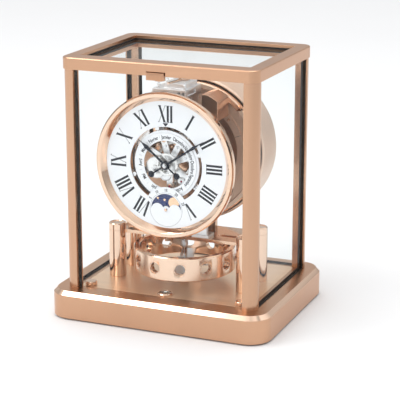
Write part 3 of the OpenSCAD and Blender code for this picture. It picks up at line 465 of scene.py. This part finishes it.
for i, turn in enumerate((135, 315)):
    ring_block(f"ring_block_{i}", turn, ring_top - 8.0, ring_top - 1.2)
polished_steel = matter("polished_steel", (0.66, 0.67, 0.69), rough=0.08, metal=1.0, mottle=0.03, scale=60.0)
machined("balance_staff", polished_steel, edge=0.15)
blue_steel = matter("blue_steel", (0.20, 0.22, 0.27), rough=0.25, metal=1.0, mottle=0.06, scale=200.0)
machined("torsion_wire", blue_steel, edge=0)
machined("suspension_tube", rhodium, edge=0.15)
machined("suspension_block", rhodium, edge=0.3)
machined("regulator_lever", bright_rose, edge=0.15)
block_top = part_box("suspension_block")[1][2] / MM
tube_low, tube_high = (np.array(corner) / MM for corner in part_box("suspension_tube"))
tube_middle = (tube_low + tube_high) / 2
collar = eased([[3.02, 0], [5.6, 0], [6.2, 0.5], [6.2, 1.3], [5.2, 1.3], [4.8, 2.0], [3.02, 2.0]], 0.2)
collar_place = (tube_middle[0], tube_middle[1], tube_low[2] + 1.0)
piece_from("tube_collar", *lathe(collar, collar_place, "Z", 72), rhodium, "case", "rhodium")
# Three shouldered pins stand through the suspension block, their heads a little above it.
pin_profile = eased([[0, 0], [0.7, 0], [0.9, 0.3], [0.9, 9.0], [1.7, 9.3], [1.7, 10.6], [0.8, 10.9],
                     [0.8, 12.4], [0, 12.4]], 0.15, closed=False)
pin_depth = 12.0
for i, (x, y, rise) in enumerate([(-14.5, -30.5, 0.4), (-14.5, -12.0, 0.4), (9.6, -32.0, 1.2)]):
    pin_place = (x, y, block_top - pin_depth + rise)
    piece_from(f"block_pin_{i}", *lathe(pin_profile, pin_place, "Z", 24, False), rhodium, "case", "rhodium")

# ---- Plates and train ----
# A skeleton front plate and a round back plate, held apart by turned pillars, and the wheels between them.
# The front plate and the wheels are rhodium plated, and the arbors and the click are polished steel.

machined("front_plate", rhodium, edge=0.25)
machined("back_plate", bridge_rose, edge=0.25)
machined("plate_pillars", bright_rose, edge=0.2)
wheel_rhodium = matter("wheel_rhodium", (0.88, 0.87, 0.86), rough=0.3, metal=1.0, mottle=0.05, scale=300.0)
for wheel in ("intermediate_wheel", "center_wheel", "escape_wheel", "minute_wheel", "hour_wheel", "cannon_pinion",
              "ratchet_wheel"):
    machined(wheel, wheel_rhodium, edge=0.05, segments=1)
machined("barrel", bridge_rose, edge=0.05, segments=1)
machined("mainspring", blue_steel, edge=0)
for part_name in ("barrel_arbor", "click", "pallet_fork"):
    machined(part_name, polished_steel, edge=0.08, segments=1)

train_axes = {row["name"]: np.array(row["pos_m"])[[0, 2]] / MM for row in frame["record"]["behaviour"]["joints"]
              if row["type"] == "hinge"}
train_middle = train_axes["center_turn"]
plate_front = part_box("ratchet_wheel")[1][1] / MM + 0.3

# ---- Screws and jewels of the front plate ----
# Ruby bearings in gold settings at the pivots, slotted steel screws on the arms, and a round silver cap over the
# pulley of the train.

ruby = matter("ruby", (0.42, 0.02, 0.06), rough=0.08, mottle=0.05, **{"Coat Weight": 0.5})


def turned_trim(name, profile, place, y, finish, slot_name, turns=40):
    """A small turned piece on the front plate: its profile is [radius, along Y] from the plate's front face."""
    piece_from(name, *lathe(profile, (place[0], y, place[1]), "Y", turns, False), finish, "case", slot_name)


setting = [[0, -0.25], [0.9, -0.25], [1.1, -0.6], [1.9, -0.6], [2.1, -0.4], [2.1, 0.1], [0, 0.1]]
jewel = [[0, -0.62], [0.5, -0.58], [0.95, -0.4], [0.95, 0.0], [0, 0.0]]
for name, place in (("upper", train_axes["intermediate_turn"]), ("lower", train_axes["escape_turn"])):
    turned_trim("setting_" + name, setting, place, plate_front, bright_rose, "rose_polished")
    turned_trim("jewel_" + name, jewel, place, plate_front, ruby, "rose_polished")
cap_place = train_middle + np.array([-3.6, -10.2])
pulley_cap = [[0, -1.5], [1.2, -1.5], [1.4, -1.2], [4.2, -1.2], [4.4, -1.45], [5.0, -1.45], [5.4, -1.1],
              [5.4, 0.1], [0, 0.1]]
turned_trim("pulley_cap", pulley_cap, cap_place, plate_front, rhodium, "rhodium", 64)
side_place = train_middle + np.array([11.0, -14.6])
side_cap = [[0, -0.9], [1.0, -0.9], [1.2, -1.3], [3.0, -1.3], [3.4, -0.9], [3.4, 0.1], [0, 0.1]]
turned_trim("side_cap", side_cap, side_place, plate_front, rhodium, "rhodium", 48)
side_jewel = [[0, -1.12], [0.6, -1.06], [0.95, -0.85], [0.95, 0], [0, 0]]
turned_trim("side_jewel", side_jewel, side_place, plate_front, ruby, "rose_polished")


def slotted_screw(name, place, y, radius=1.5, turn=0.0, body="case", finish=None):
    """A cheese head with a slot: two half discs that stand on a thinner full disc."""
    half = np.linspace(-np.pi / 2 + 0.22, np.pi / 2 - 0.22, 14)
    points, faces, count = [], [], 0
    full = np.linspace(0, 2 * np.pi, 28, endpoint=False)
    outlines = [(full, -0.35), (half, -0.75), (half + np.pi, -0.75)]
    for angles, front in outlines:
        n = len(angles)
        flat = np.stack([place[0] + radius * np.cos(angles + turn), place[1] + radius * np.sin(angles + turn)], -1)
        for depth in (front, 0.05):
            points.append(np.insert(flat, 1, y + depth, axis=1))
        ring = np.arange(n) + count
        after = np.roll(ring, -1)
        faces += [ring.tolist(), (ring[::-1] + n).tolist(), *np.stack([ring, ring + n, after + n, after], -1).tolist()]
        count += 2 * n
    return piece_from(name, np.vstack(points), faces, finish or polished_steel, body, "steel", smooth=False)


# Each screw is [distance from the middle, angle of its arm].
plate_screws = [(29.0, 62), (30.0, 322), (14.5, 105), (15.0, 20), (26.5, 270), (16.0, 62)]
for i, (reach, angle) in enumerate(plate_screws):
    spot = train_middle + reach * np.array([np.cos(np.radians(angle)), np.sin(np.radians(angle))])
    slotted_screw(f"plate_screw_{i}", spot, plate_front, 1.35, turn=0.7 * i)

# ---- Dial ----
# A white lacquered ring with its moon dial. The Roman numerals are printed on it with the tops outwards, each with
# one heavy and one fine stroke, and an arrow under the twelve points at the month.

lacquer = matter("white_lacquer", (0.94, 0.95, 0.985), rough=0.32, mottle=0.006, scale=40.0, **{"Coat Weight": 0.2})
machined("dial", lacquer, edge=0.08)
# A rose gold ring stands behind the opening of the dial, and its inner wall shows round the month ring.
rest_ring = eased([[32.7, 0], [33.7, 0], [33.7, 4.3], [32.7, 4.3]], 0.2)
rest_place = (train_middle[0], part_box("month_ring")[0][1] / MM + 0.1, train_middle[1])
piece_from("dial_rest", *lathe(rest_ring, rest_place, "Y", 144), ring_rose, "case", "rose_polished")
dial_low, dial_high = (np.array(corner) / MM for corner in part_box("dial"))
dial_middle = ((dial_low + dial_high) / 2)[[0, 2]]
print_height = 0.05


def printed(name, outlines, front, finish, body, slot, proud=print_height):
    """A layer of print or inlay, a hair proud of a surface that faces -Y at the depth front.

    Each outline is an array of [x, z] points; it is carried from just under the surface to just over it."""
    points, faces, count = [], [], 0
    for outline in outlines:
        outline = np.asarray(outline, float)
        n = len(outline)
        for y in (front - proud, front + 0.03):
            points.append(np.insert(outline, 1, y, axis=1))
        ring = np.arange(n) + count
        after = np.roll(ring, -1)
        faces += [ring.tolist(), (ring[::-1] + n).tolist(), *np.stack([ring, ring + n, after + n, after], -1).tolist()]
        count += 2 * n
    return piece_from(name, np.vstack(points), faces, finish, body, slot, smooth=False)


def on_dial(shape, turn, radius, middle):
    """Carries [across, outwards] points to an angle clockwise from twelve and a distance from the middle."""
    shape = np.asarray(shape, float)
    across, out = shape[:, 0], shape[:, 1] + radius
    turn = np.radians(turn)
    return np.stack([middle[0] + across * np.cos(turn) + out * np.sin(turn),
                     middle[1] - across * np.sin(turn) + out * np.cos(turn)], -1)


numeral_base, numeral_height = 36.2, 14.1
heavy, fine, serif = 1.85, 0.34, 0.42


def bar(low, high, width, foot=serif):
    """A straight stroke from a place on the base line to a place on the top line, with a small foot at both ends."""
    h, thick, lip = numeral_height, width / 2, 0.22
    at = lambda v: low + (high - low) * v / h
    side = [[at(0) + thick + foot, 0], [at(0) + thick + foot, lip], [at(0.7) + thick, 0.7],
            [at(h - 0.7) + thick, h - 0.7], [at(h) + thick + foot, h - lip], [at(h) + thick + foot, h]]
    other = [[at(h) - thick - foot, h], [at(h) - thick - foot, h - lip], [at(h - 0.7) - thick, h - 0.7],
             [at(0.7) - thick, 0.7], [at(0) - thick - foot, lip], [at(0) - thick - foot, 0]]
    return side + other


letters = {
    "I": (3.1, [bar(0, 0, heavy)]),
    "V": (6.7, [bar(0.15, -2.25, heavy, 0.0), bar(0.7, 2.75, fine, 0.5)]),
    "X": (7.3, [bar(2.3, -2.3, heavy + 0.1), bar(-2.9, 2.9, fine, 0.5)]),
}
numerals = {1: "I", 2: "II", 3: "III", 4: "IIII", 5: "V", 7: "VII", 8: "VIII", 9: "IX", 10: "X", 11: "XI",
            12: "XII"}
numeral_strokes = []
for hour, numeral in numerals.items():
    widths = np.array([letters[letter][0] for letter in numeral])
    places = np.cumsum(widths) - widths / 2 - widths.sum() / 2
    for letter, place in zip(numeral, places):
        numeral_strokes += [on_dial(np.array(stroke) + [place, 0], hour * 30, numeral_base, dial_middle)
                            for stroke in letters[letter][1]]
month_arrow = [[-2.6, 35.6], [-0.25, 32.9], [0.25, 32.9], [2.6, 35.6]]
numeral_strokes.append(on_dial(month_arrow, 0, 0, dial_middle))
printed("dial_numerals", numeral_strokes, dial_low[1], ink, "case", "hand_blue")

# ---- Moon dial ----
# A navy enamelled disc turns behind a window with two humps. Two gold moons and gold stars are inlaid in it, and the
# fine ring round the window is numbered in days.

enamel = matter("navy_enamel", (0.02, 0.035, 0.14), rough=0.25, mottle=0.1, scale=150.0,
                **{"Coat Weight": 0.4})
machined("moon_disc", enamel, edge=0.05)
moon_low, moon_high = (np.array(corner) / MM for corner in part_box("moon_disc"))
moon_middle = ((moon_low + moon_high) / 2)[[0, 2]]
moon_set_back = 0.8
moon_face = dial_low[1] + moon_set_back
moon_gold = matter("moon_gold", (0.95, 0.66, 0.45), rough=0.25, metal=0.75, mottle=0.05, scale=300.0, bump=0.1)


def disc(middle, radius, count=48):
    """A round outline."""
    a = np.linspace(0, 2 * np.pi, count, endpoint=False)
    return np.stack([middle[0] + radius * np.cos(a), middle[1] + radius * np.sin(a)], -1)


def star(middle, radius, points=5):
    """A star outline: its radius swings between the tips and the notches."""
    a = np.pi / 2 + np.arange(2 * points) * np.pi / points
    r = np.where(np.arange(2 * points) % 2, 0.42 * radius, radius)
    return np.stack([middle[0] + r * np.cos(a), middle[1] + r * np.sin(a)], -1)


sky_places = [(6.7, 6.4, 4.8), (-7.8, 9.3, 1.5), (-1.6, 8.2, 1.5)]
inlays = []
for half in (1, -1):
    for i, (x, z, size) in enumerate(sky_places):
        place = moon_middle + np.array([x, z]) * half
        inlays.append(star(place, size) if i else disc(place, size))
printed("moon_inlays", inlays, moon_face, moon_gold, "moon", "rose_polished", proud=0.06)
pin_cap = eased([[0, -0.45], [0.9, -0.45], [1.25, -0.1], [1.25, 0.1], [0, 0.1]], 0.3, closed=False)
pin_place = (moon_middle[0], moon_low[1] - 0.08, moon_middle[1])
piece_from("moon_pin_cap", *lathe(pin_cap, pin_place, "Y", 32, False), bright_rose, "moon", "rose_polished")
hair_line = [[14.5, -print_height], [14.72, -print_height], [14.72, 0.03], [14.5, 0.03]]
grey_ink = matter("grey_ink", (0.22, 0.23, 0.25), rough=0.4, mottle=0.1, scale=300.0)
scale_place = (moon_middle[0], dial_low[1], moon_middle[1])
piece_from("moon_scale_line", *lathe(hair_line, scale_place, "Y", 144), grey_ink, "case", "hand_blue")


def lettering(word, size):
    """A word as a flat mesh, in millimetres: its points from the middle of the base line, and its faces."""
    curve = bpy.data.curves.new("lettering", "FONT")
    curve.body, curve.size, curve.align_x = word, size, "CENTER"
    curve.resolution_u, curve.offset = 3, 0.02 * size
    holder = bpy.data.objects.new("lettering", curve)
    scene.collection.objects.link(holder)
    bpy.context.view_layer.update()
    flat = bpy.data.meshes.new_from_object(holder)
    points = np.empty(len(flat.vertices) * 3)
    flat.vertices.foreach_get("co", points)
    faces = [list(face.vertices) for face in flat.polygons]
    bpy.data.objects.remove(holder)
    bpy.data.curves.remove(curve)
    bpy.data.meshes.remove(flat)
    return points.reshape(-1, 3)[:, :2], faces


def words_round(name, words, size, base, middle, front, finish, body, squeeze=0.8, widest=20.0):
    """Words printed round a circle: across the word is the angle at half its height, and up the word is the radius.

    A word is narrowed by squeeze, and further if it would be wider than widest."""
    points, faces, count = [], [], 0
    for word, turn in words:
        flat, word_faces = lettering(word, size)
        narrow = min(squeeze, widest / np.ptp(flat[:, 0]))
        angle = np.radians(turn) + flat[:, 0] * narrow / (base + size * 0.35)
        radius = base + flat[:, 1]
        points.append(np.stack([middle[0] + radius * np.sin(angle), np.full(len(flat), front - print_height),
                                middle[1] + radius * np.cos(angle)], -1))
        faces += [[count + i for i in face] for face in word_faces]
        count += len(flat)
    mesh = bpy.data.meshes.new(name)
    mesh.from_pydata((np.vstack(points) * MM).tolist(), [], faces)
    mesh.materials.append(finish)
    flat_print = bmesh.new()
    flat_print.from_mesh(mesh)
    bmesh.ops.remove_doubles(flat_print, verts=flat_print.verts, dist=1e-7)
    facing_back = [face for face in flat_print.faces if face.normal.y > 0]
    bmesh.ops.reverse_faces(flat_print, faces=facing_back)
    flat_print.to_mesh(mesh)
    flat_print.free()
    piece = bpy.data.objects.new(name, mesh)
    scene.collection.objects.link(piece)
    layer = piece.modifiers.new("ink", "SOLIDIFY")
    layer.thickness, layer.offset = (print_height + 0.02) * MM, -1.0
    return settle(piece, body)


moon_days = [("5", -58), ("10", -30), ("15", 0), ("20", 34), ("25", 68)]
words_round("moon_days", moon_days, 3.5, 15.6, moon_middle, dial_low[1], ink, "case",
            squeeze=0.85)

# ---- Month ring ----
# A white ring that turns once a year, printed with the months. A stepped silver flange carries it from behind.

month_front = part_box("month_ring")[0][1] / MM
month_white_edge = 27.0


def month_faces(normals, centres):
    """The flat front is lacquered, and the flange behind it is plated."""
    radius = np.hypot(centres[:, 0] / MM - dial_middle[0], centres[:, 2] / MM - dial_middle[1])
    return np.where((normals[:, 1] < -0.5) & (radius < month_white_edge), 0, 1)


machined("month_ring", lacquer, edge=0.1, extra=[rhodium], pick=month_faces)
months = ["Janvier", "Février", "Mars", "Avril", "Mai", "Juin", "Juillet", "Août", "Septembre", "Octobre",
          "Novembre", "Décembre"]
words_round("month_names", [(month, -30 * i) for i, month in enumerate(months)], 4.5, 22.1, dial_middle,
            month_front, ink, "month", squeeze=0.72, widest=11.6)
tick = [[-0.09, 0], [0.09, 0], [0.09, 2.6], [-0.09, 2.6]]
month_ticks = [on_dial(tick, 30 * i + 15, 22.9, dial_middle) for i in range(12)]
printed("month_ticks", month_ticks, month_front, grey_ink, "month", "hand_blue")

# ---- Hands ----
# Blue-black steel hands: a slim blade that swells to a leaf and ends in a fine point, a round hub, and a tail with a
# disc for balance. A small gold nut holds them.

hand_lacquer = matter("hand_lacquer", (0.008, 0.012, 0.024), rough=0.42, mottle=0.1, scale=200.0,
                      **{"Specular IOR Level": 0.3})


def hand(name, length, leaf, half, leaf_half, tail, hub, bore, turn, body):
    """A hand as flat plates with broken edges: blade, tail bar, balance disc, and the two halves of its hub ring.

    The blade's half width is half at the hub, 0.75 of it before the leaf, leaf_half at the leaf, and next to nothing at
    the tip; leaf is the place of the widest point along the blade."""
    low, high = (np.array(corner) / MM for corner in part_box(name))
    rise = [[half, bore + 0.6], [0.72 * half, leaf - 6], [0.85 * leaf_half, leaf - 1.6], [leaf_half, leaf],
            [0.8 * leaf_half, leaf + 1.6], [0.42, leaf + 5], [0.12, length]]
    blade = np.array(rise + [[-x, z] for x, z in rise[::-1]])
    bar = np.array([[0.62, -tail], [0.62, -bore - 0.6], [-0.62, -bore - 0.6], [-0.62, -tail]])
    round_tail = disc((0, -tail), 2.75, 36)
    arc = np.linspace(0, np.pi, 25)
    half_ring = np.vstack([np.stack([hub * np.cos(arc), hub * np.sin(arc)], -1),
                           np.stack([bore * np.cos(arc[::-1]), bore * np.sin(arc[::-1])], -1)])
    outlines = [on_dial(shape, turn, 0, dial_middle) for shape in (blade, bar, round_tail, half_ring, -half_ring)]
    piece = printed(name + "_steel", outlines, high[1] - 0.03, hand_lacquer, body, "hand_blue",
                    proud=high[1] - low[1] - 0.03)
    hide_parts(name)
    edge = piece.modifiers.new("broken_edges", "BEVEL")
    edge.width, edge.segments, edge.limit_method = 0.1 * MM, 2, "ANGLE"


hand("hour_hand", 31.8, 22.0, 1.05, 1.75, 13.2, 3.9, 2.72, 310, "hour")
hand("minute_hand", 42.0, 31.0, 0.95, 1.45, 14.6, 3.6, 2.02, 56, "center")
machined("hand_nut", polished_steel, edge=0.1)

# ---- Bezel ----
# A turned and polished rose gold ring, fixed over the edge of the dial from behind.
# Its inner slope mirrors the numerals.

machined("bezel", bright_rose, edge=0.2)

# ---- Drum ----
# The drum behind the movement holds the bellows. Its stepped front ring has a satin annulus round the window, a
# polished rim and a wall between them, whose faces that turn inwards carry painted shade as a darker colour. Two arms
# hold it to the back plate and a saddle rests it on the bridge.

drum_satin = matter("drum_satin", (0.90, 0.66, 0.51), rough=0.38, metal=0.5, mottle=0.03, scale=300.0, bump=0.05)
annulus_edge = 54.5
# Painted shade: a darker copy of the rose gold, laid on the front ring's inward walls; the supports use it as their
# plain darker finish.
dark_rose_and_painted_shade = matter("dark_rose_and_painted_shade", (0.62, 0.38, 0.26), rough=0.2, metal=1.0, mottle=0.04, scale=60.0)


def drum_faces(normals, centres):
    """The annulus round the window is satin, the rim is polished, and the wall that faces inwards gets painted shade: a
    darker colour.
    """
    out = centres[:, [0, 2]] / MM - dial_middle
    radius = np.linalg.norm(out, axis=1)
    inward = -(normals[:, [0, 2]] * out).sum(1) / np.maximum(radius, 1e-6)
    # Faces that turn towards the axis take the painted shade colour.
    return np.where(inward > 0.7, 2, np.where((normals[:, 1] < -0.5) & (radius < annulus_edge), 1, 0))


machined("drum_front", bright_rose, edge=0.25, extra=[drum_satin, dark_rose_and_painted_shade], pick=drum_faces)
annulus_step = 4.0
annulus_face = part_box("drum_front")[0][1] / MM + annulus_step
joint = [[-0.13, 0], [0.13, 0], [0.13, 5.6], [-0.13, 5.6]]
joint_lines = [on_dial(joint, turn, 40.0, dial_middle) for turn in (70, 190, 310)]
dark_line = matter("dark_line", (0.10, 0.055, 0.035), rough=0.5, mottle=0.1, scale=300.0)
printed("annulus_joints", joint_lines, annulus_face, dark_line, "case", "rose_satin")
for i, turn in enumerate((48, 168, 288)):
    screw_place = on_dial([[0, 0]], turn, 42.8, dial_middle)[0]
    slotted_screw(f"annulus_screw_{i}", screw_place, annulus_face, 1.2, turn=0.5 + i, finish=bright_rose)
machined("drum_shell", drum_satin, edge=0.3)
machined("drum_rear_cover", satin_rose, edge=0.3)
machined("drum_supports", dark_rose_and_painted_shade, edge=0.3)
capsule_brass = matter("capsule_brass", (0.56, 0.35, 0.23), rough=0.3, metal=0.8, mottle=0.05)
machined("bellows_disc", capsule_brass, edge=0.15)
# The folded wall is soldered to the rear cover and reaches from there to the disc that it pushes; here it is only baked
# in place.
disc_end, cover_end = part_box("bellows")
machined("bellows", capsule_brass, edge=0, stretch=["case", (0, cover_end[1], 0), (0, disc_end[1], 0)])
